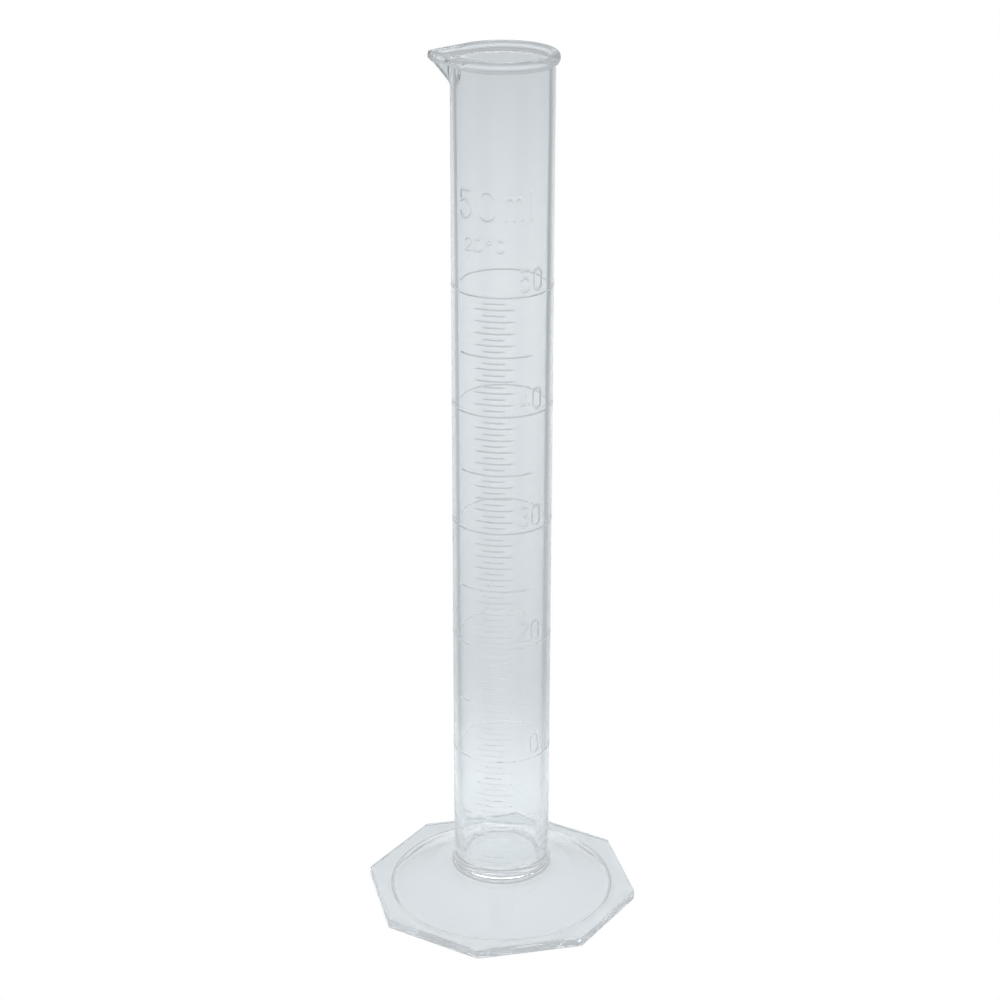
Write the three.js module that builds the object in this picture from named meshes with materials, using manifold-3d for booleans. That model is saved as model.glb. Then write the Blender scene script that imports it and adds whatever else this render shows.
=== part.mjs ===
// A 50 ml measuring cylinder in clear plastic: a tall tube with a raised scale, a thick rim and a
// pouring lip, cemented into an eight-sided foot that is hollow underneath.
// Millimetres, +Z up. The origin is on the tube's axis, in the plane that the foot stands on.
// A corner of the foot and the middle of the scale face -Y, and the pouring lip points to -X.

import * as THREE from "three";
import { mergeVertices } from "three/addons/utils/BufferGeometryUtils.js";
import Module from "manifold-3d";

// Driving dimensions: the tube
const TUBE_RADIUS = 12;
const TUBE_TOP = 217;
const TUBE_BASE = 8.2;
const BORE_FLOOR = 11;
const BORE_FLOOR_RADIUS = 9.98;
const BORE_TAPER = 0.0035; // how much the bore's radius grows for each millimetre of height
const BORE_FLOOR_FILLET = 1.2;
const BASE_CHAMFER = 0.5;
const TUBE_SEGMENTS = 60;
const ROUND_STEPS = 4;

// Driving dimensions: the half-round bead at the rim
const BEAD_HEIGHT = 2.75;
const BEAD_PROUD = 1.05;
const BEAD_STEPS = 6;
const RIM_LAND = 11.5; // radius where the rounded inside of the mouth meets the top

// Driving dimensions: the pouring lip, a wedge with straight sides that leans out of the rim
const LIP_TIP_RADIUS = 17.5;
const LIP_SIDE_ANGLE = THREE.MathUtils.degToRad(38.5); // between a side and the lip's middle line
const LIP_LEVEL = 215.4; // the lip stands upright above this height
const LIP_LEAN = 0.78; // how far the lip draws in for each millimetre below that
const LIP_BLEND = 0.35; // softness of the line where the lip leaves the round wall
const LIP_TIP_ROUND = 0.05; // softness of the lip's front edge, as an angle
const LIP_TIP_FORWARD = 0.5; // the share of that softness given back, which keeps the tip's reach
const LIP_TOP_BEAD_LEFT = 0.25; // the share of the bead's thickness that is left at the tip
const LIP_DROOP = 0.55; // how far the tip dips below the rim
const LIP_FADE = 5 * LIP_BLEND; // the reach over which its lower end fades into the wall
const LIP_LOWEST = LIP_LEVEL - (LIP_TIP_RADIUS - TUBE_RADIUS + LIP_FADE) / LIP_LEAN;
const LIP_ROWS = 5;

// Driving dimensions: the raised scale
const MM3_PER_ML = 1000;
const FULL_SCALE_ML = 50;
const RING_EVERY_ML = 10;
const LONG_MARK_AT_ML = 5; // and halfway between each two rings after that
const MARK_RELIEF = 0.15;
const MARK_WIDTH = 0.4;
const MARK_FLAT = 0.6; // the share of a mark's width that is flat on top
const MARK_ROOT = 0.5; // how deep a mark's solid starts inside the wall
const LONG_MARK_HALF_ANGLE = THREE.MathUtils.degToRad(44.5);

// Driving dimensions: the foot
const FOOT_CORNER_RADIUS = 34.6;
const FOOT_SIDES = 8;
const FOOT_CORNER_ROUND = 0.7;
const FLANGE_HEIGHT = 2.4;
const DOME_RADIUS = 29;
const DOME_TOP = 9.9;
const HOLLOW_RADIUS = 27.7;
const HOLLOW_WALL_HEIGHT = 0.9;
const CROWN_UNDERSIDE = 7.6;
const FOOT_SEGMENTS = 64;

// Driving dimensions: the joint between them
const JOINT_GAP = 0.3; // all round the end of the tube, and under the bead of cement
const CEMENT_WIDTH = 1.0;
const CEMENT_HEIGHT = 1.1;
const CEMENT_SEGMENTS = 48;

// How far a solid that is cut away reaches past the face that it opens
const CUT_PAST = 1;
// How close two corners of a mesh are to count as one
const SAME_CORNER = 1e-4;

const wasm = await Module();
wasm.setup();

function boreRadius(height) {
  return BORE_FLOOR_RADIUS + BORE_TAPER * (height - BORE_FLOOR);
}

// The height at which the tapered bore holds this many millilitres.
function heightOfVolume(millilitres) {
  const volume = MM3_PER_ML * millilitres;
  const cubed = BORE_FLOOR_RADIUS ** 3 + (3 * BORE_TAPER * volume) / Math.PI;
  return BORE_FLOOR + (Math.cbrt(cubed) - BORE_FLOOR_RADIUS) / BORE_TAPER;
}

// The top of the foot between the flange and the tube is a plain cone.
const DOME_SLOPE = (DOME_TOP - FLANGE_HEIGHT) / (DOME_RADIUS - TUBE_RADIUS);

function domeHeight(radius) {
  return DOME_TOP - DOME_SLOPE * (radius - TUBE_RADIUS);
}

// Points on an arc of a section, from one angle to another in degrees, as (radius, height).
function arcPoints(centreRadius, centreHeight, width, height, fromDegrees, toDegrees, steps) {
  const points = [];
  for (let i = 0; i <= steps; i += 1) {
    const angle = THREE.MathUtils.degToRad(fromDegrees + ((toDegrees - fromDegrees) * i) / steps);
    const radius = centreRadius + width * Math.cos(angle);
    points.push(new THREE.Vector2(radius, centreHeight + height * Math.sin(angle)));
  }
  return points;
}

// A closed section turned round the Z axis.
function turned(section, segments) {
  const geometry = new THREE.LatheGeometry(section, segments);
  geometry.rotateX(Math.PI / 2);
  return geometry;
}

function toSolid(geometry) {
  const bare = geometry.clone();
  bare.deleteAttribute("normal");
  bare.deleteAttribute("uv");
  const merged = mergeVertices(bare, SAME_CORNER);
  return new wasm.Manifold(
    new wasm.Mesh({
      numProp: 3,
      vertProperties: new Float32Array(merged.attributes.position.array),
      triVerts: new Uint32Array(merged.index.array),
    }),
  );
}

function toGeometry(solid) {
  const mesh = solid.getMesh();
  const geometry = new THREE.BufferGeometry();
  geometry.setAttribute("position", new THREE.BufferAttribute(mesh.vertProperties, 3));
  geometry.setIndex(new THREE.BufferAttribute(mesh.triVerts, 1));
  geometry.computeVertexNormals();
  return geometry;
}

// How far the lip stands out of the round wall at an angle from its middle line and a height.
function lipReach(angle, height) {
  const rounded = Math.hypot(angle, LIP_TIP_ROUND) - LIP_TIP_ROUND * LIP_TIP_FORWARD;
  const fromMiddle = Math.min(rounded, Math.PI / 2 - LIP_SIDE_ANGLE);
  const sideSlope = Math.tan(LIP_SIDE_ANGLE);
  const along = Math.cos(fromMiddle);
  const across = Math.sin(fromMiddle);
  const wedge = (LIP_TIP_RADIUS * sideSlope) / (across + sideSlope * along) - TUBE_RADIUS;
  const drawnIn = LIP_LEAN * Math.max(0, LIP_LEVEL - height);
  return LIP_BLEND * Math.log1p(Math.exp((wedge - drawnIn) / LIP_BLEND));
}

// Pushes the top of the turned tube out into the pouring lip, with the wall's thickness kept.
function drawOutLip(geometry) {
  const position = geometry.attributes.position;
  for (let i = 0; i < position.count; i += 1) {
    const x = position.getX(i);
    const y = position.getY(i);
    const height = position.getZ(i);
    const radius = Math.hypot(x, y);
    if (height > LIP_LOWEST && radius > BORE_FLOOR_RADIUS) {
      const angle = Math.abs(Math.atan2(y, -x));
      const reach = lipReach(angle, height);
      const share = Math.min(1, reach / (LIP_TIP_RADIUS - TUBE_RADIUS));
      const proud = Math.max(0, radius - TUBE_RADIUS) * share * (1 - LIP_TOP_BEAD_LEFT);
      const scale = (radius + reach - proud) / radius;
      const droop = (LIP_DROOP * share * (height - LIP_LOWEST)) / (TUBE_TOP - LIP_LOWEST);
      position.setXYZ(i, x * scale, y * scale, height - droop);
    }
  }
}

function ringMark(height) {
  const half = MARK_WIDTH / 2;
  return [
    new THREE.Vector2(TUBE_RADIUS, height - half),
    new THREE.Vector2(TUBE_RADIUS + MARK_RELIEF, height - half * MARK_FLAT),
    new THREE.Vector2(TUBE_RADIUS + MARK_RELIEF, height + half * MARK_FLAT),
    new THREE.Vector2(TUBE_RADIUS, height + half),
  ];
}

function tubeSection() {
  const beadMiddle = TUBE_TOP - BEAD_HEIGHT / 2;
  const mouthRadius = boreRadius(beadMiddle);
  const section = [
    new THREE.Vector2(0, TUBE_BASE),
    new THREE.Vector2(TUBE_RADIUS - BASE_CHAMFER, TUBE_BASE),
    new THREE.Vector2(TUBE_RADIUS, TUBE_BASE + BASE_CHAMFER),
  ];
  for (let volume = RING_EVERY_ML; volume <= FULL_SCALE_ML; volume += RING_EVERY_ML) {
    section.push(...ringMark(heightOfVolume(volume)));
  }
  const beadHalf = BEAD_HEIGHT / 2;
  for (let i = 0; i < LIP_ROWS; i += 1) {
    const height = LIP_LOWEST + ((beadMiddle - beadHalf - LIP_LOWEST) * i) / LIP_ROWS;
    section.push(new THREE.Vector2(TUBE_RADIUS, height));
  }
  section.push(...arcPoints(TUBE_RADIUS, beadMiddle, BEAD_PROUD, beadHalf, -90, 90, BEAD_STEPS));
  const mouthWidth = RIM_LAND - mouthRadius;
  section.push(...arcPoints(RIM_LAND, beadMiddle, mouthWidth, beadHalf, 90, 180, ROUND_STEPS));
  for (let i = LIP_ROWS; i >= 0; i -= 1) {
    const height = LIP_LOWEST + ((beadMiddle - LIP_LOWEST) * i) / (LIP_ROWS + 1);
    section.push(new THREE.Vector2(boreRadius(height), height));
  }
  const filletTop = BORE_FLOOR + BORE_FLOOR_FILLET;
  const filletMiddle = boreRadius(filletTop) - BORE_FLOOR_FILLET;
  const round = BORE_FLOOR_FILLET;
  section.push(...arcPoints(filletMiddle, filletTop, round, round, 0, -90, ROUND_STEPS));
  section.push(new THREE.Vector2(0, BORE_FLOOR));
  return section;
}

// One raised line of the scale: part of a ring, with its middle on the -Y side. Its flat top is
// as wide as the middle of a ring's sloping sides.
function arcMark(height, halfAngle) {
  const middle = -Math.PI / 2;
  const outline = new THREE.Shape();
  outline.absarc(0, 0, TUBE_RADIUS + MARK_RELIEF, middle - halfAngle, middle + halfAngle, false);
  outline.absarc(0, 0, TUBE_RADIUS - MARK_ROOT, middle + halfAngle, middle - halfAngle, true);
  const curveSegments = Math.ceil((halfAngle * 2) / ((2 * Math.PI) / TUBE_SEGMENTS));
  const width = (MARK_WIDTH * (1 + MARK_FLAT)) / 2;
  const geometry = new THREE.ExtrudeGeometry(outline, {
    depth: width,
    bevelEnabled: false,
    curveSegments,
  });
  geometry.translate(0, 0, height - width / 2);
  return geometry;
}

// The measuring tube with the main lines of its scale: a ring at each ten millilitres, and a long
// mark at each five between them.
function measuringTube() {
  const body = turned(tubeSection(), TUBE_SEGMENTS);
  drawOutLip(body);
  let solid = toSolid(body);
  for (let volume = LONG_MARK_AT_ML; volume < FULL_SCALE_ML; volume += RING_EVERY_ML) {
    solid = solid.add(toSolid(arcMark(heightOfVolume(volume), LONG_MARK_HALF_ANGLE)));
  }
  return toGeometry(solid);
}

// The eight-sided plate of the foot, with a small round on each upright corner.
function flange() {
  const outline = new THREE.Shape();
  const cut = FOOT_CORNER_ROUND;
  for (let i = 0; i < FOOT_SIDES; i += 1) {
    const angle = (i * 2 * Math.PI) / FOOT_SIDES;
    const step = (2 * Math.PI) / FOOT_SIDES;
    const corner = new THREE.Vector2(Math.cos(angle), Math.sin(angle));
    const before = new THREE.Vector2(Math.cos(angle - step), Math.sin(angle - step));
    const after = new THREE.Vector2(Math.cos(angle + step), Math.sin(angle + step));
    corner.multiplyScalar(FOOT_CORNER_RADIUS);
    before.multiplyScalar(FOOT_CORNER_RADIUS).sub(corner).setLength(cut).add(corner);
    after.multiplyScalar(FOOT_CORNER_RADIUS).sub(corner).setLength(cut).add(corner);
    if (i === 0) {
      outline.moveTo(before.x, before.y);
    } else {
      outline.lineTo(before.x, before.y);
    }
    outline.quadraticCurveTo(corner.x, corner.y, after.x, after.y);
  }
  return new THREE.ExtrudeGeometry(outline, {
    depth: FLANGE_HEIGHT,
    bevelEnabled: false,
    curveSegments: ROUND_STEPS,
  });
}

// The foot: plate and cone in one moulding, hollow below, with a round hole in its crown that the
// end of the tube is cemented into.
function foot() {
  const holeRadius = TUBE_RADIUS + JOINT_GAP;
  const dome = turned(
    [
      new THREE.Vector2(0, FLANGE_HEIGHT / 2),
      new THREE.Vector2(DOME_RADIUS, FLANGE_HEIGHT / 2),
      new THREE.Vector2(DOME_RADIUS, FLANGE_HEIGHT),
      new THREE.Vector2(TUBE_RADIUS, DOME_TOP),
      new THREE.Vector2(0, DOME_TOP),
    ],
    FOOT_SEGMENTS,
  );
  const crownRadius = HOLLOW_RADIUS - (CROWN_UNDERSIDE - HOLLOW_WALL_HEIGHT) / DOME_SLOPE;
  const hollow = turned(
    [
      new THREE.Vector2(0, -CUT_PAST),
      new THREE.Vector2(HOLLOW_RADIUS, -CUT_PAST),
      new THREE.Vector2(HOLLOW_RADIUS, HOLLOW_WALL_HEIGHT),
      new THREE.Vector2(crownRadius, CROWN_UNDERSIDE),
      new THREE.Vector2(0, CROWN_UNDERSIDE),
    ],
    FOOT_SEGMENTS,
  );
  const hole = turned(
    [
      new THREE.Vector2(0, CROWN_UNDERSIDE - CUT_PAST),
      new THREE.Vector2(holeRadius, CROWN_UNDERSIDE - CUT_PAST),
      new THREE.Vector2(holeRadius, DOME_TOP + CUT_PAST),
      new THREE.Vector2(0, DOME_TOP + CUT_PAST),
    ],
    FOOT_SEGMENTS,
  );
  const solid = toSolid(flange()).add(toSolid(dome)).subtract(toSolid(hollow));
  return toGeometry(solid.subtract(toSolid(hole)));
}

// The bead of set cement in the corner between the tube and the top of the foot: its face curves
// from the cone of the foot up to the wall of the tube.
function cementRing() {
  const inner = TUBE_RADIUS + JOINT_GAP;
  const outer = inner + CEMENT_WIDTH;
  const section = [new THREE.Vector2(inner, domeHeight(inner) + JOINT_GAP)];
  for (let i = 0; i <= ROUND_STEPS; i += 1) {
    const angle = (Math.PI / 2) * (i / ROUND_STEPS);
    const radius = outer - CEMENT_WIDTH * Math.sin(angle);
    const thickness = CEMENT_HEIGHT * (1 - Math.cos(angle));
    section.push(new THREE.Vector2(radius, domeHeight(radius) + JOINT_GAP + thickness));
  }
  section.push(section[0].clone());
  return turned(section, CEMENT_SEGMENTS);
}

const clearPlastic = new THREE.MeshStandardMaterial({
  color: 0xe4edec,
  roughness: 0.08,
  metalness: 0,
  transparent: true,
  opacity: 0.45,
});
const clearCement = new THREE.MeshStandardMaterial({
  color: 0xf0f3f1,
  roughness: 0.2,
  metalness: 0,
  transparent: true,
  opacity: 0.6,
});

function namedMesh(name, geometry, material) {
  const mesh = new THREE.Mesh(geometry, material);
  mesh.name = name;
  return mesh;
}

const cylinder = new THREE.Group();
cylinder.add(namedMesh("measuring_tube", measuringTube(), clearPlastic.clone()));
cylinder.add(namedMesh("octagonal_foot", foot(), clearPlastic.clone()));
cylinder.add(namedMesh("cement_ring", cementRing(), clearCement));

export default cylinder;
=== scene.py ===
"""A clear plastic 50 ml measuring cylinder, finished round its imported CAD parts.

The tube is one lattice of points wound round the axis. Its rows follow the raised lines of the
scale, and patches of finer cells carry the raised numerals. The foot and the ring of cement are
turned and eight-sided lattices of their own. Every length is in metres and +Z is up.
"""

import math

import bpy
import numpy as np
from mathutils import Euler, Matrix, Vector


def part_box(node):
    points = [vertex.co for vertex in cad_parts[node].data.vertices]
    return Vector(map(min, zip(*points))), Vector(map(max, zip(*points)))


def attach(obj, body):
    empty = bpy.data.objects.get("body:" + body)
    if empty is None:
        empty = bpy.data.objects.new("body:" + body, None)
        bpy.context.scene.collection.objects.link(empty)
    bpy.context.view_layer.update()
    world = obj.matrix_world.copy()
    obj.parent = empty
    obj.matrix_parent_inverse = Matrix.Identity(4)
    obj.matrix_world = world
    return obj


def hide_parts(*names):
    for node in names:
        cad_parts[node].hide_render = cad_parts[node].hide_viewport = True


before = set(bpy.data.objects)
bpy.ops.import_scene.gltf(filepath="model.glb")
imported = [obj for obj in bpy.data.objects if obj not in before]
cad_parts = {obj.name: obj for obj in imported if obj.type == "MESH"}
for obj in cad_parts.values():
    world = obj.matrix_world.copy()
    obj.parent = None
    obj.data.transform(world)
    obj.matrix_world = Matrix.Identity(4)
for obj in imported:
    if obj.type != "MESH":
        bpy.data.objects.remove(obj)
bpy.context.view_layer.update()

MM = 0.001

# Sizes read from the frame
TUBE_LOW, TUBE_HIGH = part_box("measuring_tube")
RIM_TOP = TUBE_HIGH.z
TUBE_BASE = TUBE_LOW.z

# The tube, with its bore tapered so that a ring can stand at each ten millilitres
TUBE_RADIUS = 12.0 * MM
BORE_FLOOR = 11.0 * MM
BORE_FLOOR_RADIUS = 9.98 * MM
BORE_TAPER = 0.0035
BORE_FILLET = 1.2 * MM
BASE_CHAMFER = 0.5 * MM

# The rim's half-round bead and the rounded inside of the mouth
BEAD_HEIGHT = 2.75 * MM
BEAD_PROUD = 1.05 * MM
RIM_LAND = 11.5 * MM

# The pouring lip, a wedge that leans out of the rim on the -X side, its tip rounded in radians
LIP_AZIMUTH = -math.pi / 2
LIP_TIP_RADIUS = 17.5 * MM
LIP_SIDE_ANGLE = math.radians(38.5)
LIP_LEVEL = 215.4 * MM
LIP_LEAN = 0.78
LIP_BLEND = 0.35 * MM
LIP_TIP_ROUND = 0.05
LIP_TIP_FORWARD = 0.5
LIP_BEAD_LEFT = 0.25
LIP_DROOP = 0.55 * MM
LIP_FADE = 5 * LIP_BLEND
LIP_LOWEST = LIP_LEVEL - (LIP_TIP_RADIUS - TUBE_RADIUS + LIP_FADE) / LIP_LEAN

# The raised scale, in millilitres and in angles on each side of its middle line
CUBIC_METRES_PER_ML = 1e-6
FULL_SCALE = 50.0
SCALE_STEP = 0.5
FIRST_MARK = 1.0
MARK_RELIEF = 0.085 * MM
MARK_WIDTH = 0.44 * MM
MARK_EDGES = (-MARK_WIDTH / 2, 0.0, MARK_WIDTH / 2)
MARK_END = math.radians(0.5)
LONG_HALF_ANGLE = math.radians(44.5)
MEDIUM_HALF_ANGLE = math.radians(22.0)
SHORT_HALF_ANGLE = math.radians(12.5)
ABOVE_SCALE = 168.0 * MM

# The raised lettering: its relief, the share of a stroke that slopes, and the plain border round
# it in strokes. Each letter of the title has its azimuth in degrees and its width in millimetres.
LETTER_RELIEF = 0.12 * MM
LETTER_SLOPE = 0.5
LETTER_BORDER = 0.9
NUMERAL_HEIGHT = 5.0 * MM
NUMERAL_WIDTH = 2.3 * MM
NUMERAL_PITCH = 3.55 * MM
NUMERAL_STROKE = 0.45 * MM
NUMERAL_LIFT = 1.3 * MM
NUMERAL_ANGLE = math.radians(44.2)
TITLE_HEIGHT = 6.5 * MM
TITLE_STROKE = 0.55 * MM
TITLE_BASE = 180.9 * MM
TITLE_LETTERS = (("5", -36.1, 3.5), ("0", -7.5, 3.3), ("m", 22.5, 4.0), ("l", 43.0, 0.6))
NOTE_LETTERS = ("2", "0", "deg", "C")
NOTE_HEIGHT = 2.9 * MM
NOTE_WIDTH = 1.7 * MM
NOTE_PITCH = 2.7 * MM
NOTE_STROKE = 0.36 * MM
NOTE_BASE = 173.4 * MM
NOTE_ANGLE = math.radians(-12)

# The foot
FOOT_SIDES = 8
FOOT_CORNER_RADIUS = 34.6 * MM
FOOT_CORNER_ROUND = 1.69 * MM
FOOT_ROUND_TANGENT = FOOT_CORNER_ROUND * math.tan(math.pi / FOOT_SIDES)
FOOT_ROUND_HALF = math.atan2(
    FOOT_ROUND_TANGENT * math.cos(math.pi / FOOT_SIDES),
    FOOT_CORNER_RADIUS - FOOT_ROUND_TANGENT * math.sin(math.pi / FOOT_SIDES),
)
FLANGE_HEIGHT = 2.4 * MM
FLANGE_EDGE = 0.3 * MM
FLANGE_LAND = 1.4 * MM
DOME_RADIUS = 29.0 * MM
DOME_TOP = 9.9 * MM
DOME_BLEND = 1.6 * MM
HOLLOW_RADIUS = 27.7 * MM
HOLLOW_ROUND = 0.8 * MM
HOLLOW_CORNER = 0.25 * MM
HOLLOW_WALL = 0.9 * MM
CROWN_UNDERSIDE = 7.6 * MM
DOME_SLOPE = (DOME_TOP - FLANGE_HEIGHT) / (DOME_RADIUS - TUBE_RADIUS)

# The joint
SEAT_GAP = 0.05 * MM
CEMENT_WIDTH = 0.4 * MM
CEMENT_HEIGHT = 0.45 * MM
CEMENT_LIFT = 0.02 * MM
JOINT_TOP = DOME_TOP + CEMENT_HEIGHT
JOINT_MARGIN = 0.01 * MM

# The lattices: columns round the axis and the least space between them as a share of one, extra
# columns each side of the lip's tip in degrees, the lettering's cells, and steps along sections
COLUMNS = 96
COLUMN_SPACE = 0.4
LIP_COLUMNS = (1.0, 2.0, 4.5, 7.5)
FOOT_CORNER_COLUMNS = 9
FOOT_SIDE_COLUMNS = 18
FINE_CELL = 0.17 * MM
ABOVE_SCALE_ROWS = 12
LIP_ROWS = 14
BEAD_STEPS = 16
MOUTH_STEPS = 10
LIP_STEPS = 16
BORE_STEPS = 12
FILLET_STEPS = 8
BLEND_STEPS = 6
CEMENT_STEPS = 10

# The steepest turn between faces that still looks smooth, in degrees, and how near counts as the same
TUBE_SMOOTH = 38
FOOT_SMOOTH = 30
CEMENT_SMOOTH = 60
LENGTH_DIGITS = 7
ANGLE_DIGITS = 6
SAME_ANGLE = 1e-5
TINY = 1e-9
TAU = 2 * math.pi

# The camera: its place round the axis, its turns in degrees, and its lens in millimetres
CAMERA_DISTANCE = 554.9 * MM
CAMERA_HEIGHT = 336.4 * MM
CAMERA_AZIMUTH = 9.67
CAMERA_TURN = 9.758
CAMERA_DOWN = 22.387
CAMERA_ROLL = -0.09
LENS = 89.46
SENSOR = 36.0

# The stage: the floor as it shows through clear parts, the surround, and each light's energy in watts
FLOOR_REACH = 6.0
FLOOR_LEVEL = -0.1 * MM
FLOOR_THROUGH = (0.49, 0.515, 0.525)
FLOOR_ROUGHNESS = 0.25
SURROUND_COLOUR = (0.94, 0.97, 1.0)
SURROUND = 0.52
VIEW_TURN = 9.7
WALL_LIGHT = 31.0
OTHER_WALLS = 0.5
LONG_LIGHT = 1.1
FOOT_LIGHT = 0.045
BEAD_LIGHT = 45.0
MOST_BOUNCES = 128


# ---------------------------------------------------------------- meshes


def piece_from(name, vertices, faces, material, smooth_angle):
    """A mesh object from lists of points and faces, smooth where its faces meet gently."""
    mesh = bpy.data.meshes.new(name)
    mesh.from_pydata([tuple(v) for v in vertices], [], faces)
    mesh.validate()
    mesh.update()
    mesh.materials.append(material)
    piece = bpy.data.objects.new(name, mesh)
    bpy.context.scene.collection.objects.link(piece)
    mesh.shade_smooth()
    mesh.set_sharp_from_angle(angle=math.radians(smooth_angle))
    return piece


def on_axis(radius, azimuth, height):
    """A point at an azimuth that counts from -Y towards +X."""
    return (radius * math.sin(azimuth), -radius * math.cos(azimuth), height)


def crease(piece, heights):
    """Keeps the level edges at these heights crisp, so that a raised line stays as thin as it is."""
    levels = {round(height, LENGTH_DIGITS) for height in heights}
    points = piece.data.vertices
    for edge in piece.data.edges:
        low, high = [round(points[v].co.z, LENGTH_DIGITS) for v in edge.vertices]
        if low == high and low in levels:
            edge.use_edge_sharp = True


def cement_faces(piece, material, joined):
    """Gives the joint's material to each face whose every corner is inside the joint."""
    piece.data.materials.append(material)
    for face in piece.data.polygons:
        if all(joined(piece.data.vertices[v].co) for v in face.vertices):
            face.material_index = 1


def faces_between(rows):
    """Faces from each row of points to the next, and from the last row back to the first."""
    faces = []
    for low, high in zip(rows, rows[1:] + rows[:1]):
        for i in range(len(low)):
            j = (i + 1) % len(low)
            faces.append([low[i], low[j], high[j], high[i]])
    return faces


def arc(radius, height, wide, tall, start, end, steps):
    """Points of a section along part of an ellipse, its angles in degrees."""
    points = []
    for i in range(steps + 1):
        angle = math.radians(start + (end - start) * i / steps)
        points.append((radius + wide * math.cos(angle), height + tall * math.sin(angle)))
    return points


# ---------------------------------------------------------------- the scale


def bore_radius(height):
    """The bore's radius, which grows a little with height."""
    return BORE_FLOOR_RADIUS + BORE_TAPER * (height - BORE_FLOOR)


def height_of_volume(millilitres):
    """Where the tapered bore holds this many millilitres."""
    cubed = BORE_FLOOR_RADIUS**3 + 3 * BORE_TAPER * millilitres * CUBIC_METRES_PER_ML / math.pi
    return BORE_FLOOR + (cubed ** (1 / 3) - BORE_FLOOR_RADIUS) / BORE_TAPER


def scale_marks():
    """Every line of the scale as (height, half angle)."""
    marks = []
    for i in range(int(FIRST_MARK / SCALE_STEP), int(FULL_SCALE / SCALE_STEP) + 1):
        volume = i * SCALE_STEP
        if volume % 10 == 0:
            half = math.pi
        elif volume % 5 == 0:
            half = LONG_HALF_ANGLE
        elif volume % 1 == 0:
            half = MEDIUM_HALF_ANGLE
        else:
            half = SHORT_HALF_ANGLE
        marks.append((height_of_volume(volume), half))
    return marks


# ---------------------------------------------------------------- the lettering


def curve(cx, cy, rx, ry, start, end, steps=10):
    """A stroke along part of an ellipse, in a letter box that is 1 tall."""
    angles = np.radians(np.linspace(start, end, steps))
    return [(cx + rx * math.cos(a), cy + ry * math.sin(a)) for a in angles]


def letter(character, width):
    """The strokes of one character in a box that is width wide and 1 tall."""
    w, h = width, width / 2
    shapes = {
        "0": [curve(h, 1 - h, h, h, 180, 0) + curve(h, h, h, h, 0, -180) + [(0, 1 - h)]],
        "1": [[(h * 0.5, 0.8), (h * 1.1, 1), (h * 1.1, 0)]],
        "2": [curve(h, 1 - h, h, h, 170, -35) + [(0, 0), (w, 0)]],
        "3": [curve(h, 0.74, h * 0.92, 0.26, 150, -90) + curve(h, 0.25, h, 0.25, 90, -150)],
        "4": [[(w * 0.72, 0), (w * 0.72, 1), (0, 0.28), (w, 0.28)]],
        "5": [[(w * 0.9, 1), (w * 0.12, 1), (w * 0.06, 0.56)]
              + curve(h * 0.95, 0.33, h * 1.05, 0.33, 130, -145, 14)],
        "m": [[(0, 0), (0, 0.8)],
              [(0, 0.5)] + curve(w * 0.25, 0.55, w * 0.25, 0.25, 165, 0) + [(w * 0.5, 0)],
              [(w * 0.5, 0.5)] + curve(w * 0.75, 0.55, w * 0.25, 0.25, 165, 0) + [(w, 0)]],
        "l": [[(h, 0), (h, 1)]],
        "C": [curve(h, 0.5, h * 1.05, 0.5, 50, 310, 16)],
        "deg": [curve(h, 0.82, 0.17, 0.17, 0, 360, 12)],
    }
    return shapes[character]


class Lettering:
    """One raised character on the tube's wall, laid out along it from its middle."""

    def __init__(self, character, azimuth, base, height, width, stroke):
        self.azimuth, self.base = azimuth, base
        self.height, self.width, self.stroke = height, width, stroke
        segments = []
        for line in letter(character, width / height):
            segments += list(zip(line, line[1:]))
        self.segments = np.array(segments) * height
        self.margin = stroke * LETTER_BORDER

    def box(self):
        """Its patch on the wall as (low azimuth, high azimuth, low height, high height)."""
        half = (self.width / 2 + self.margin) / TUBE_RADIUS
        low, high = self.base - self.margin, self.base + self.height + self.margin
        return (self.azimuth - half, self.azimuth + half, low, high)

    def relief(self, azimuth, height):
        """How far it stands out at a place on the wall, rounded like a moulded letter."""
        low_a, high_a, low_z, high_z = self.box()
        if not (low_a <= azimuth <= high_a and low_z <= height <= high_z):
            return 0.0
        x = (azimuth - self.azimuth) * TUBE_RADIUS + self.width / 2
        point = np.array([x, height - self.base])
        start, end = self.segments[:, 0], self.segments[:, 1]
        along = end - start
        share = ((point - start) * along).sum(1) / (along**2).sum(1)
        nearest = start + along * np.clip(share, 0, 1)[:, None]
        distance = float(np.sqrt(((point - nearest) ** 2).sum(1)).min())
        edge = np.clip((self.stroke / 2 - distance) / (self.stroke * LETTER_SLOPE) + 0.5, 0, 1)
        return LETTER_RELIEF * float(edge * edge * (3 - 2 * edge))


def row_of_letters(characters, centre, base, height, width, pitch, stroke):
    """Evenly spaced characters, their middle at an azimuth."""
    letters = []
    first = centre - pitch * (len(characters) - 1) / 2 / TUBE_RADIUS
    for i, character in enumerate(characters):
        azimuth = first + i * pitch / TUBE_RADIUS
        letters.append(Lettering(character, azimuth, base, height, width, stroke))
    return letters


def all_letters():
    """The numerals above the rings, the title and a generic note on how it was calibrated."""
    letters = []
    for tens in range(1, 6):
        base = height_of_volume(tens * 10) + NUMERAL_LIFT
        letters += row_of_letters(
            [str(tens), "0"], NUMERAL_ANGLE, base,
            NUMERAL_HEIGHT, NUMERAL_WIDTH, NUMERAL_PITCH, NUMERAL_STROKE,
        )
    for character, degrees, width in TITLE_LETTERS:
        letters.append(Lettering(
            character, math.radians(degrees), TITLE_BASE, TITLE_HEIGHT, width * MM, TITLE_STROKE,
        ))
    letters += row_of_letters(
        NOTE_LETTERS, NOTE_ANGLE, NOTE_BASE, NOTE_HEIGHT, NOTE_WIDTH, NOTE_PITCH, NOTE_STROKE,
    )
    return letters


# ---------------------------------------------------------------- the tube


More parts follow.
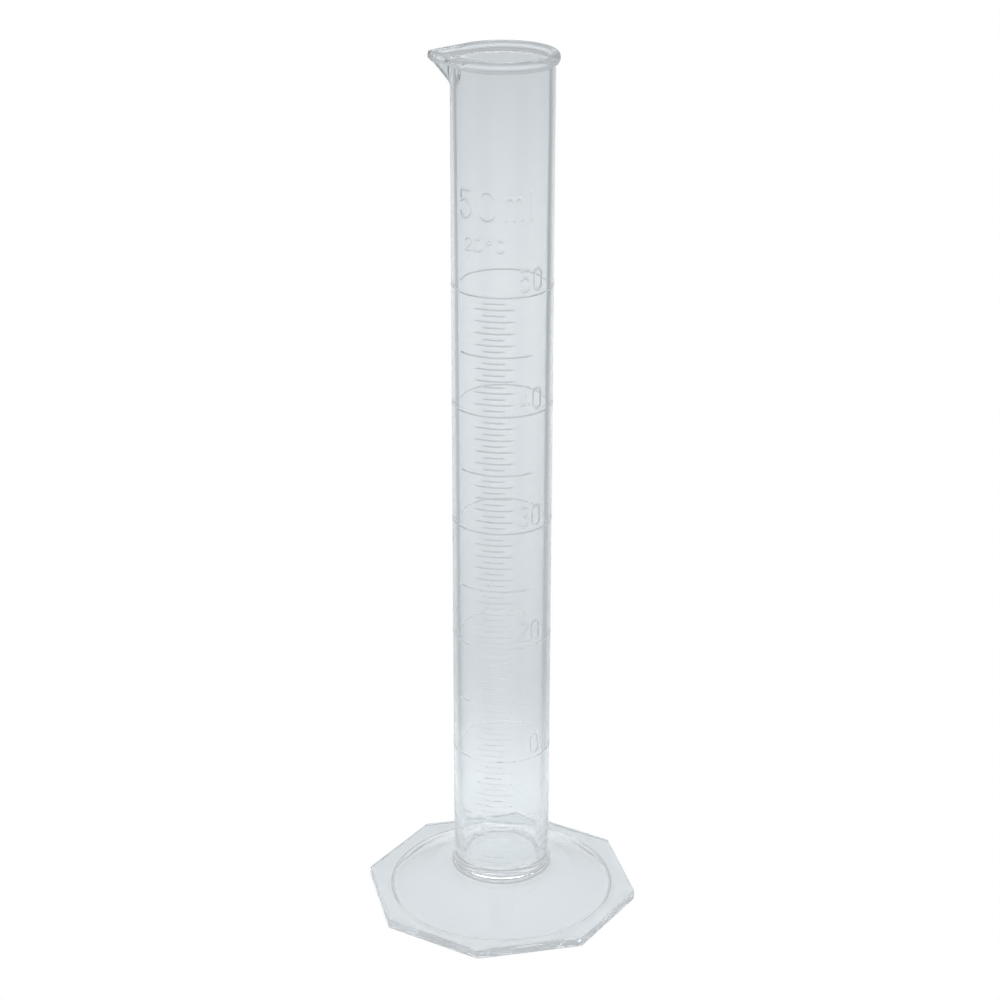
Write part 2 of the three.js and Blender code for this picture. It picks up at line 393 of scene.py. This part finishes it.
def lip_reach(azimuth, height):
    """How far the pouring lip stands out of the round wall."""
    from_middle = abs(math.remainder(azimuth - LIP_AZIMUTH, TAU))
    rounded = math.hypot(from_middle, LIP_TIP_ROUND) - LIP_TIP_ROUND * LIP_TIP_FORWARD
    angle = min(rounded, math.pi / 2 - LIP_SIDE_ANGLE)
    slope = math.tan(LIP_SIDE_ANGLE)
    wedge = LIP_TIP_RADIUS * slope / (math.sin(angle) + slope * math.cos(angle)) - TUBE_RADIUS
    drawn_in = LIP_LEAN * max(0.0, LIP_LEVEL - height)
    return LIP_BLEND * math.log1p(math.exp((wedge - drawn_in) / LIP_BLEND))


def drawn_out(radius, azimuth, height):
    """A point of the wall, with the lip drawn out of it, its bead thinned and its tip a little low."""
    if height < LIP_LOWEST:
        return on_axis(radius, azimuth, height)
    reach = lip_reach(azimuth, height)
    share = min(1.0, reach / (LIP_TIP_RADIUS - TUBE_RADIUS))
    proud = max(0.0, radius - TUBE_RADIUS) * share * (1 - LIP_BEAD_LEFT)
    droop = LIP_DROOP * share * (height - LIP_LOWEST) / (RIM_TOP - LIP_LOWEST)
    return on_axis(radius + reach - proud, azimuth, height - droop)


def wall_rows(marks):
    """The heights of the outer wall's rows between the base and the bead."""
    rows = [TUBE_BASE + BASE_CHAMFER, JOINT_TOP]
    for height, _ in marks:
        rows += [height + offset for offset in MARK_EDGES]
    rows += list(np.linspace(ABOVE_SCALE, LIP_LOWEST, ABOVE_SCALE_ROWS))
    rows += list(np.linspace(LIP_LOWEST, RIM_TOP - BEAD_HEIGHT, LIP_ROWS)[:-1])
    return sorted({round(height, LENGTH_DIGITS) for height in rows})


def columns_of_wall():
    """The azimuths of the columns: even steps, a pair at each end of a mark, and more at the lip."""
    columns = set()
    for half in (LONG_HALF_ANGLE, MEDIUM_HALF_ANGLE, SHORT_HALF_ANGLE):
        for sign in (-1, 1):
            columns.add(round(sign * half, ANGLE_DIGITS))
            columns.add(round(sign * (half + MARK_END), ANGLE_DIGITS))
    for i in range(COLUMNS):
        azimuth = -math.pi + TAU * i / COLUMNS
        if all(abs(azimuth - other) > COLUMN_SPACE * TAU / COLUMNS for other in columns):
            columns.add(round(azimuth, ANGLE_DIGITS))
    for degrees in LIP_COLUMNS:
        for sign in (-1, 1):
            columns.add(round(LIP_AZIMUTH + sign * math.radians(degrees), ANGLE_DIGITS))
    return sorted(columns)


def mark_relief(azimuth, height, marks):
    """How far the scale stands out of the wall at a row and a column of the lattice."""
    for place, half in marks:
        offset = abs(height - place)
        if offset < MARK_WIDTH / 2 and abs(azimuth) <= half + SAME_ANGLE:
            return MARK_RELIEF * (1 - 2 * offset / MARK_WIDTH)
    return 0.0


class Wall:
    """The tube's outer wall: cells between rows and columns, some cut finer for the lettering.

    Where a plain cell meets finer ones, it takes their points into its edge, so nothing gapes.
    """

    def __init__(self, rows, columns, marks, letters):
        self.rows, self.columns = rows, columns
        self.marks, self.letters = marks, letters
        self.vertices, self.index, self.faces = [], {}, []
        self.fine = {}
        for r in range(len(rows) - 1):
            for c in range(len(columns)):
                self.fine[r, c] = self.cuts(r, c)

    def azimuth(self, c):
        """The azimuth of a column, counted on past the last one."""
        turn, c = divmod(c, len(self.columns))
        return self.columns[c] + turn * TAU

    def touched(self, r, c):
        """The letters whose patches reach into a cell."""
        low, high = self.azimuth(c), self.azimuth(c + 1)
        found = []
        for item in self.letters:
            low_a, high_a, low_z, high_z = item.box()
            if low < high_a and high > low_a and self.rows[r] < high_z and self.rows[r + 1] > low_z:
                found.append(item)
        return found

    def cuts(self, r, c):
        """How many smaller cells a cell is cut into, across and up."""
        if not self.touched(r, c):
            return (1, 1)
        wide = (self.azimuth(c + 1) - self.azimuth(c)) * TUBE_RADIUS
        tall = self.rows[r + 1] - self.rows[r]
        return (max(1, round(wide / FINE_CELL)), max(1, round(tall / FINE_CELL)))

    def point(self, r, c, i, across, j, up):
        """The lattice point at i of across and j of up inside a cell, made once."""
        if i == across:
            i, c = 0, c + 1
        if j == up:
            j, r = 0, r + 1
        c %= len(self.columns)
        key = (r, j / up if j else 0, c, i / across if i else 0)
        if key not in self.index:
            azimuth = self.azimuth(c)
            if i:
                azimuth += (self.azimuth(c + 1) - azimuth) * i / across
            height = self.rows[r]
            if j:
                height += (self.rows[r + 1] - height) * j / up
            self.index[key] = len(self.vertices)
            proud = self.relief(math.remainder(azimuth, TAU), height)
            self.vertices.append(drawn_out(TUBE_RADIUS + proud, azimuth, height))
        return self.index[key]

    def relief(self, azimuth, height):
        """How far the scale and the lettering stand out at a place on the wall."""
        proud = mark_relief(azimuth, height, self.marks)
        for item in self.letters:
            proud = max(proud, item.relief(azimuth, height))
        return proud

    def parts(self, beyond, direction):
        """How many parts a plain cell's edge has: those of the cell beyond it, 0 across and 1 up."""
        return self.fine.get(beyond, (1, 1))[direction]

    def build(self):
        """Makes the faces of every cell."""
        for (r, c), (across, up) in self.fine.items():
            if self.touched(r, c):
                self.fine_cell(r, c, across, up)
            else:
                self.plain_cell(r, c)

    def plain_cell(self, r, c):
        """One face, with the points of any finer cells along its edges."""
        count = len(self.columns)
        low = self.parts((r - 1, c), 0)
        high = self.parts((r + 1, c), 0)
        left = self.parts((r, (c - 1) % count), 1)
        right = self.parts((r, (c + 1) % count), 1)
        loop = [self.point(r, c, i, low, 0, 1) for i in range(low)]
        loop += [self.point(r, c, 1, 1, j, right) for j in range(right)]
        loop += [self.point(r, c, i, high, 1, 1) for i in range(high, 0, -1)]
        loop += [self.point(r, c, 0, 1, j, left) for j in range(left, 0, -1)]
        self.faces.append(loop)

    def fine_cell(self, r, c, across, up):
        """A face for each of the smaller cells."""
        for i in range(across):
            for j in range(up):
                self.faces.append([
                    self.point(r, c, i, across, j, up),
                    self.point(r, c, i + 1, across, j, up),
                    self.point(r, c, i + 1, across, j + 1, up),
                    self.point(r, c, i, across, j + 1, up),
                ])


def tube_rest():
    """The sections that complete the tube: over the bead and down the bore, and under the floor."""
    bead_middle = RIM_TOP - BEAD_HEIGHT / 2
    half = BEAD_HEIGHT / 2
    over = arc(TUBE_RADIUS, bead_middle, BEAD_PROUD, half, -90, 90, BEAD_STEPS)
    mouth = bore_radius(bead_middle)
    over += arc(RIM_LAND, bead_middle, RIM_LAND - mouth, half, 90, 180, MOUTH_STEPS)
    for i in range(1, LIP_STEPS + 1):
        height = bead_middle + (LIP_LOWEST - bead_middle) * i / LIP_STEPS
        over.append((bore_radius(height), height))
    fillet_top = BORE_FLOOR + BORE_FILLET
    for height in np.linspace(LIP_LOWEST, fillet_top, BORE_STEPS)[1:-1]:
        over.append((bore_radius(height), height))
    centre = bore_radius(fillet_top) - BORE_FILLET
    over += arc(centre, fillet_top, BORE_FILLET, BORE_FILLET, 0, -90, FILLET_STEPS)
    for share in (0.66, 0.33, 0.0):
        over.append((centre * share, BORE_FLOOR))
    under = [(radius, TUBE_BASE) for radius in (TUBE_RADIUS - BASE_CHAMFER, TUBE_RADIUS * 0.5, 0.0)]
    return over, under


def measuring_tube(material):
    """The outer wall with its scale and lettering, the rim with its lip, the bore and the floor."""
    marks, letters = scale_marks(), all_letters()
    columns = columns_of_wall()
    top = round(RIM_TOP - BEAD_HEIGHT, LENGTH_DIGITS)
    wall = Wall(wall_rows(marks) + [top], columns, marks, letters)
    wall.build()
    vertices, faces = wall.vertices, wall.faces
    count = len(columns)

    def ring_of(r):
        """The points of the wall along one row."""
        return [wall.point(r, c, 0, 1, 0, 1) for c in range(count)]

    def extend(last, section, outward):
        """Rows of points that follow a section from the row called last."""
        for radius, height in section:
            if radius < TINY:
                row = [len(vertices)] * count
                vertices.append((0, 0, height))
            else:
                row = [len(vertices) + c for c in range(count)]
                for c in range(count):
                    vertices.append(drawn_out(radius, columns[c], height))
            for c in range(count):
                n = (c + 1) % count
                corners = [last[c], last[n], row[n], row[c]]
                if not outward:
                    corners.reverse()
                corners = list(dict.fromkeys(corners))
                if len(corners) > 2:
                    faces.append(corners)
            last = row

    over, under = tube_rest()
    extend(ring_of(len(wall.rows) - 1), over[1:], True)
    extend(ring_of(0), under, False)
    tube = piece_from("measuring_tube_clear", vertices, faces, material, TUBE_SMOOTH)
    crease(tube, [height + offset for height, _ in marks for offset in MARK_EDGES])
    return tube


# ---------------------------------------------------------------- the foot


def octagon_radius(azimuth):
    """The foot's outline with a small round on each corner. A corner faces -Y."""
    step = TAU / FOOT_SIDES
    off_corner = abs(math.remainder(azimuth, step))
    if off_corner >= FOOT_ROUND_HALF:
        return FOOT_CORNER_RADIUS * math.cos(step / 2) / math.cos(step / 2 - off_corner)
    centre = FOOT_CORNER_RADIUS - FOOT_CORNER_ROUND / math.cos(step / 2)
    across = centre * math.sin(off_corner)
    return centre * math.cos(off_corner) + math.sqrt(FOOT_CORNER_ROUND**2 - across**2)


def foot_columns():
    """Azimuths round the foot, closer together on the rounded corners."""
    step = TAU / FOOT_SIDES
    near = [FOOT_ROUND_HALF * share for share in np.linspace(-1, 1, FOOT_CORNER_COLUMNS)]
    far = list(np.linspace(FOOT_ROUND_HALF, step - FOOT_ROUND_HALF, FOOT_SIDE_COLUMNS)[1:-1])
    return sorted(k * step + azimuth for k in range(FOOT_SIDES) for azimuth in near + far)


def cone_height(radius):
    """The height of the foot's cone."""
    return DOME_TOP - DOME_SLOPE * (radius - TUBE_RADIUS)


def octagonal_foot(material):
    """One closed lattice: the hollow underside, the eight sides, the top and the hole for the tube."""
    columns = foot_columns()
    vertices, rows = [], []

    def add_row(outline, height):
        """A row of points at a height, whose radius at each azimuth is the outline's."""
        rows.append([len(vertices) + i for i in range(len(columns))])
        for azimuth in columns:
            vertices.append(on_axis(outline(azimuth), azimuth, height))

    def round_row(radius, height):
        """A circular row."""
        add_row(lambda azimuth: radius, height)

    def eight_row(inset, height):
        """A row along the eight sides, drawn in by the inset."""
        add_row(lambda azimuth: octagon_radius(azimuth) - inset, height)

    hole = TUBE_RADIUS + SEAT_GAP
    crown = HOLLOW_RADIUS - (CROWN_UNDERSIDE - HOLLOW_WALL) / DOME_SLOPE
    edge, small = FLANGE_EDGE, FLANGE_EDGE * 0.3

    round_row(hole, CROWN_UNDERSIDE)
    for share in (0.0, 0.35, 0.7, 1.0):
        radius = crown + (HOLLOW_RADIUS - HOLLOW_ROUND - crown) * share
        round_row(radius, CROWN_UNDERSIDE - (radius - crown) * DOME_SLOPE)
    round_row(HOLLOW_RADIUS - HOLLOW_CORNER, HOLLOW_WALL + HOLLOW_CORNER * 0.2)
    round_row(HOLLOW_RADIUS, HOLLOW_WALL - HOLLOW_CORNER)
    round_row(HOLLOW_RADIUS, edge * 0.4)
    round_row(HOLLOW_RADIUS + edge * 0.4, 0.0)
    eight_row(FLANGE_LAND, 0.0)
    for inset, height in ((edge, 0.0), (small, small), (0.0, edge)):
        eight_row(inset, height)
    for inset, depth in ((0.0, edge), (small, small), (edge, 0.0)):
        eight_row(inset, FLANGE_HEIGHT - depth)
    round_row(DOME_RADIUS + DOME_BLEND, FLANGE_HEIGHT)
    for i in range(1, BLEND_STEPS):
        share = i / BLEND_STEPS
        radius = DOME_RADIUS + DOME_BLEND * (1 - 2 * share)
        round_row(radius, FLANGE_HEIGHT + DOME_SLOPE * DOME_BLEND * share**2)
    cone_foot = DOME_RADIUS - DOME_BLEND
    for radius in (cone_foot, (cone_foot + hole) / 2, hole + CEMENT_WIDTH, hole):
        round_row(radius, cone_height(radius))
    round_row(hole, TUBE_BASE + BASE_CHAMFER)
    return piece_from("octagonal_foot_clear", vertices, faces_between(rows), material, FOOT_SMOOTH)


def cement_ring(material):
    """The bead of cement, its face curving from the foot's cone up to the tube's wall."""
    inner = TUBE_RADIUS + SEAT_GAP
    outer = inner + CEMENT_WIDTH
    section = [(inner, cone_height(inner) + CEMENT_LIFT)]
    for i in range(CEMENT_STEPS + 1):
        angle = math.pi / 2 * i / CEMENT_STEPS
        radius = outer - CEMENT_WIDTH * math.sin(angle)
        thickness = CEMENT_HEIGHT * (1 - math.cos(angle))
        section.append((radius, cone_height(radius) + CEMENT_LIFT + thickness))
    vertices, rows = [], []
    for radius, height in section:
        rows.append([len(vertices) + i for i in range(COLUMNS)])
        vertices += [on_axis(radius, TAU * i / COLUMNS, height) for i in range(COLUMNS)]
    return piece_from("cement_ring_clear", vertices, faces_between(rows), material, CEMENT_SMOOTH)


# ---------------------------------------------------------------- materials


def clear_material(name, tint, ior, roughness, wave_scale, wave_height):
    """Clear plastic: smooth, with the faint waviness and the slight haze of a moulding."""
    material = bpy.data.materials.new(name)
    material.use_nodes = True
    nodes, links = material.node_tree.nodes, material.node_tree.links
    shader = nodes["Principled BSDF"]
    shader.inputs["Base Color"].default_value = (*tint, 1)
    shader.inputs["IOR"].default_value = ior
    shader.inputs["Transmission Weight"].default_value = 1.0
    place = nodes.new("ShaderNodeTexCoord")
    haze = nodes.new("ShaderNodeTexNoise")
    haze.inputs["Scale"].default_value = 60
    haze.inputs["Detail"].default_value = 2
    spread = nodes.new("ShaderNodeMapRange")
    spread.inputs["To Min"].default_value = roughness[0]
    spread.inputs["To Max"].default_value = roughness[1]
    wave = nodes.new("ShaderNodeTexNoise")
    wave.inputs["Scale"].default_value = wave_scale
    wave.inputs["Detail"].default_value = 1
    bump = nodes.new("ShaderNodeBump")
    bump.inputs["Strength"].default_value = 1.0
    bump.inputs["Distance"].default_value = wave_height
    links.new(place.outputs["Object"], haze.inputs["Vector"])
    links.new(haze.outputs["Fac"], spread.inputs["Value"])
    links.new(spread.outputs["Result"], shader.inputs["Roughness"])
    links.new(place.outputs["Object"], wave.inputs["Vector"])
    links.new(wave.outputs["Fac"], bump.inputs["Height"])
    links.new(bump.outputs["Normal"], shader.inputs["Normal"])
    let_light_through(material, shader)
    return material


def let_light_through(material, shader):
    """Light on its way to another surface passes straight on, so the plastic throws no dark shadow."""
    nodes, links = material.node_tree.nodes, material.node_tree.links
    clear = nodes.new("ShaderNodeBsdfTransparent")
    path = nodes.new("ShaderNodeLightPath")
    surface = shader
    for kind in ("Is Diffuse Ray", "Is Shadow Ray"):
        mix = nodes.new("ShaderNodeMixShader")
        links.new(path.outputs[kind], mix.inputs["Fac"])
        links.new(surface.outputs[0], mix.inputs[1])
        links.new(clear.outputs["BSDF"], mix.inputs[2])
        surface = mix
    links.new(surface.outputs[0], nodes["Material Output"].inputs["Surface"])


def joint_material():
    """Two faces with clear cement between them: light crosses it as if the plastic were whole."""
    material = bpy.data.materials.new("clear_joint")
    material.use_nodes = True
    nodes, links = material.node_tree.nodes, material.node_tree.links
    nodes.remove(nodes["Principled BSDF"])
    clear = nodes.new("ShaderNodeBsdfTransparent")
    links.new(clear.outputs["BSDF"], nodes["Material Output"].inputs["Surface"])
    return material


# ---------------------------------------------------------------- the stage


def make_camera():
    """A long lens in front of the scale, a little to the right of it and above the rim."""
    data = bpy.data.cameras.new("camera")
    data.lens = LENS
    data.sensor_width = SENSOR
    camera = bpy.data.objects.new("camera", data)
    camera.location = on_axis(CAMERA_DISTANCE, math.radians(CAMERA_AZIMUTH), CAMERA_HEIGHT)
    turns = (90 - CAMERA_DOWN, CAMERA_ROLL, CAMERA_TURN)
    camera.rotation_euler = Euler([math.radians(turn) for turn in turns])
    bpy.context.scene.collection.objects.link(camera)
    bpy.context.scene.camera = camera


def floor_material():
    """A pale studio floor: bleached white seen directly, and satin grey seen through the plastic."""
    material = bpy.data.materials.new("pale_floor")
    material.use_nodes = True
    nodes, links = material.node_tree.nodes, material.node_tree.links
    seen_through = nodes["Principled BSDF"]
    seen_through.inputs["Base Color"].default_value = (*FLOOR_THROUGH, 1)
    seen_through.inputs["Roughness"].default_value = FLOOR_ROUGHNESS
    bleached = nodes.new("ShaderNodeEmission")
    path = nodes.new("ShaderNodeLightPath")
    mix = nodes.new("ShaderNodeMixShader")
    links.new(path.outputs["Is Camera Ray"], mix.inputs["Fac"])
    links.new(seen_through.outputs["BSDF"], mix.inputs[1])
    links.new(bleached.outputs["Emission"], mix.inputs[2])
    links.new(mix.outputs["Shader"], nodes["Material Output"].inputs["Surface"])
    return material


def make_floor():
    """A plain square floor, just under the foot."""
    mesh = bpy.data.meshes.new("floor")
    signs = ((-1, -1), (1, -1), (1, 1), (-1, 1))
    corners = [(x * FLOOR_REACH, y * FLOOR_REACH, FLOOR_LEVEL) for x, y in signs]
    mesh.from_pydata(corners, [], [(0, 1, 2, 3)])
    mesh.materials.append(floor_material())
    floor = bpy.data.objects.new("floor", mesh)
    bpy.context.scene.collection.objects.link(floor)
    return floor


def lit_only(light, things):
    """Keeps a light to the things given, so that it isn't mirrored in anything else."""
    reached = bpy.data.collections.new(light.name + "_reaches")
    for thing in things:
        reached.objects.link(thing)
    light.light_linking.receiver_collection = reached


def soft_box(name, size, energy, spread, place, aim, turned_by=0.0):
    """A rectangular soft box at a place, facing an aim, both turned round the axis with the view."""
    data = bpy.data.lights.new(name, "AREA")
    data.shape = "RECTANGLE"
    data.size, data.size_y = size
    data.spread = math.radians(spread)
    data.energy = energy
    light = bpy.data.objects.new(name, data)
    turn = Matrix.Rotation(math.radians(VIEW_TURN + turned_by), 3, "Z")
    light.location = turn @ Vector(place)
    facing = turn @ (Vector(aim) - Vector(place))
    light.rotation_euler = facing.to_track_quat("-Z", "Y").to_euler()
    light.visible_camera = False
    light.visible_transmission = False
    bpy.context.scene.collection.objects.link(light)
    return light


def make_lights(floor, bead):
    """Soft boxes light the floor and the bead of cement, and an even pale surround lights the rest."""
    world = bpy.data.worlds.new("studio")
    bpy.context.scene.world = world
    world.use_nodes = True
    background = world.node_tree.nodes["Background"]
    background.inputs["Color"].default_value = (*SURROUND_COLOUR, 1)
    background.inputs["Strength"].default_value = SURROUND
    middle = (0, 0, 0)
    # A wall of light on each side of the object, mirrored softly in the floor. The plastic's walls
    # bend the view past the ends of that sheen, which draws their dark edges.
    for turned_by in (0, 90, 180, 270):
        energy = WALL_LIGHT if turned_by == 0 else WALL_LIGHT * OTHER_WALLS
        wall = soft_box(
            "wall_light", size=(3.54, 1.15), energy=energy, spread=180,
            place=(-0.13, 3.0, 1.25), aim=middle, turned_by=turned_by,
        )
        lit_only(wall, [floor])
    # A long box overhead for the whole floor, and a small one for the floor at the foot
    long_box = soft_box(
        "long_box", size=(0.7, 2.4), energy=LONG_LIGHT, spread=25,
        place=(-0.07, 0.4, 0.45), aim=(-0.07, 0.4, 0),
    )
    foot_box = soft_box(
        "foot_box", size=(0.16, 0.16), energy=FOOT_LIGHT, spread=20, place=(0, 0, 0.3), aim=middle,
    )
    for light in (long_box, foot_box):
        light.visible_glossy = False
        lit_only(light, [floor])
    # The glint along the bead of cement
    bead_box = soft_box(
        "bead_box", size=(0.6, 0.6), energy=BEAD_LIGHT, spread=180, place=(0, 0, 0.4), aim=middle,
    )
    lit_only(bead_box, [bead])


def make_clear_paths():
    """Plain colours, and enough bounces for light to find its way out of thick clear plastic."""
    scene = bpy.context.scene
    scene.view_settings.view_transform = "Standard"
    scene.cycles.max_bounces = MOST_BOUNCES
    scene.cycles.glossy_bounces = MOST_BOUNCES
    scene.cycles.transmission_bounces = MOST_BOUNCES
    scene.cycles.transparent_max_bounces = 32


make_camera()
make_clear_paths()

clear_plastic = clear_material(
    "clear_plastic", tint=(0.985, 0.995, 1.0), ior=1.57, roughness=(0.0, 0.02),
    wave_scale=90, wave_height=0.03 * MM,
)
clear_cement = clear_material(
    "clear_cement", tint=(0.99, 0.99, 1.0), ior=1.55, roughness=(0.03, 0.1),
    wave_scale=900, wave_height=0.04 * MM,
)

tube = measuring_tube(clear_plastic)
foot = octagonal_foot(clear_plastic)
cement = cement_ring(clear_cement)
make_lights(make_floor(), cement)

clear_joint = joint_material()
tube_side = TUBE_RADIUS - JOINT_MARGIN
joint_top = JOINT_TOP + JOINT_MARGIN
cement_edge = TUBE_RADIUS + SEAT_GAP + CEMENT_WIDTH + JOINT_MARGIN
cement_underside = CEMENT_LIFT + JOINT_MARGIN
cement_faces(tube, clear_joint, lambda p: p.xy.length > tube_side and p.z < joint_top)
cement_faces(foot, clear_joint, lambda p: p.xy.length < cement_edge and p.z > TUBE_BASE)
cement_faces(cement, clear_joint, lambda p: p.z < cone_height(p.xy.length) + cement_underside)

for piece, node, slot in (
    (tube, "measuring_tube", "clear_plastic"),
    (foot, "octagonal_foot", "clear_plastic"),
    (cement, "cement_ring", "clear_cement"),
):
    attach(piece, "root")
    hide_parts(node)
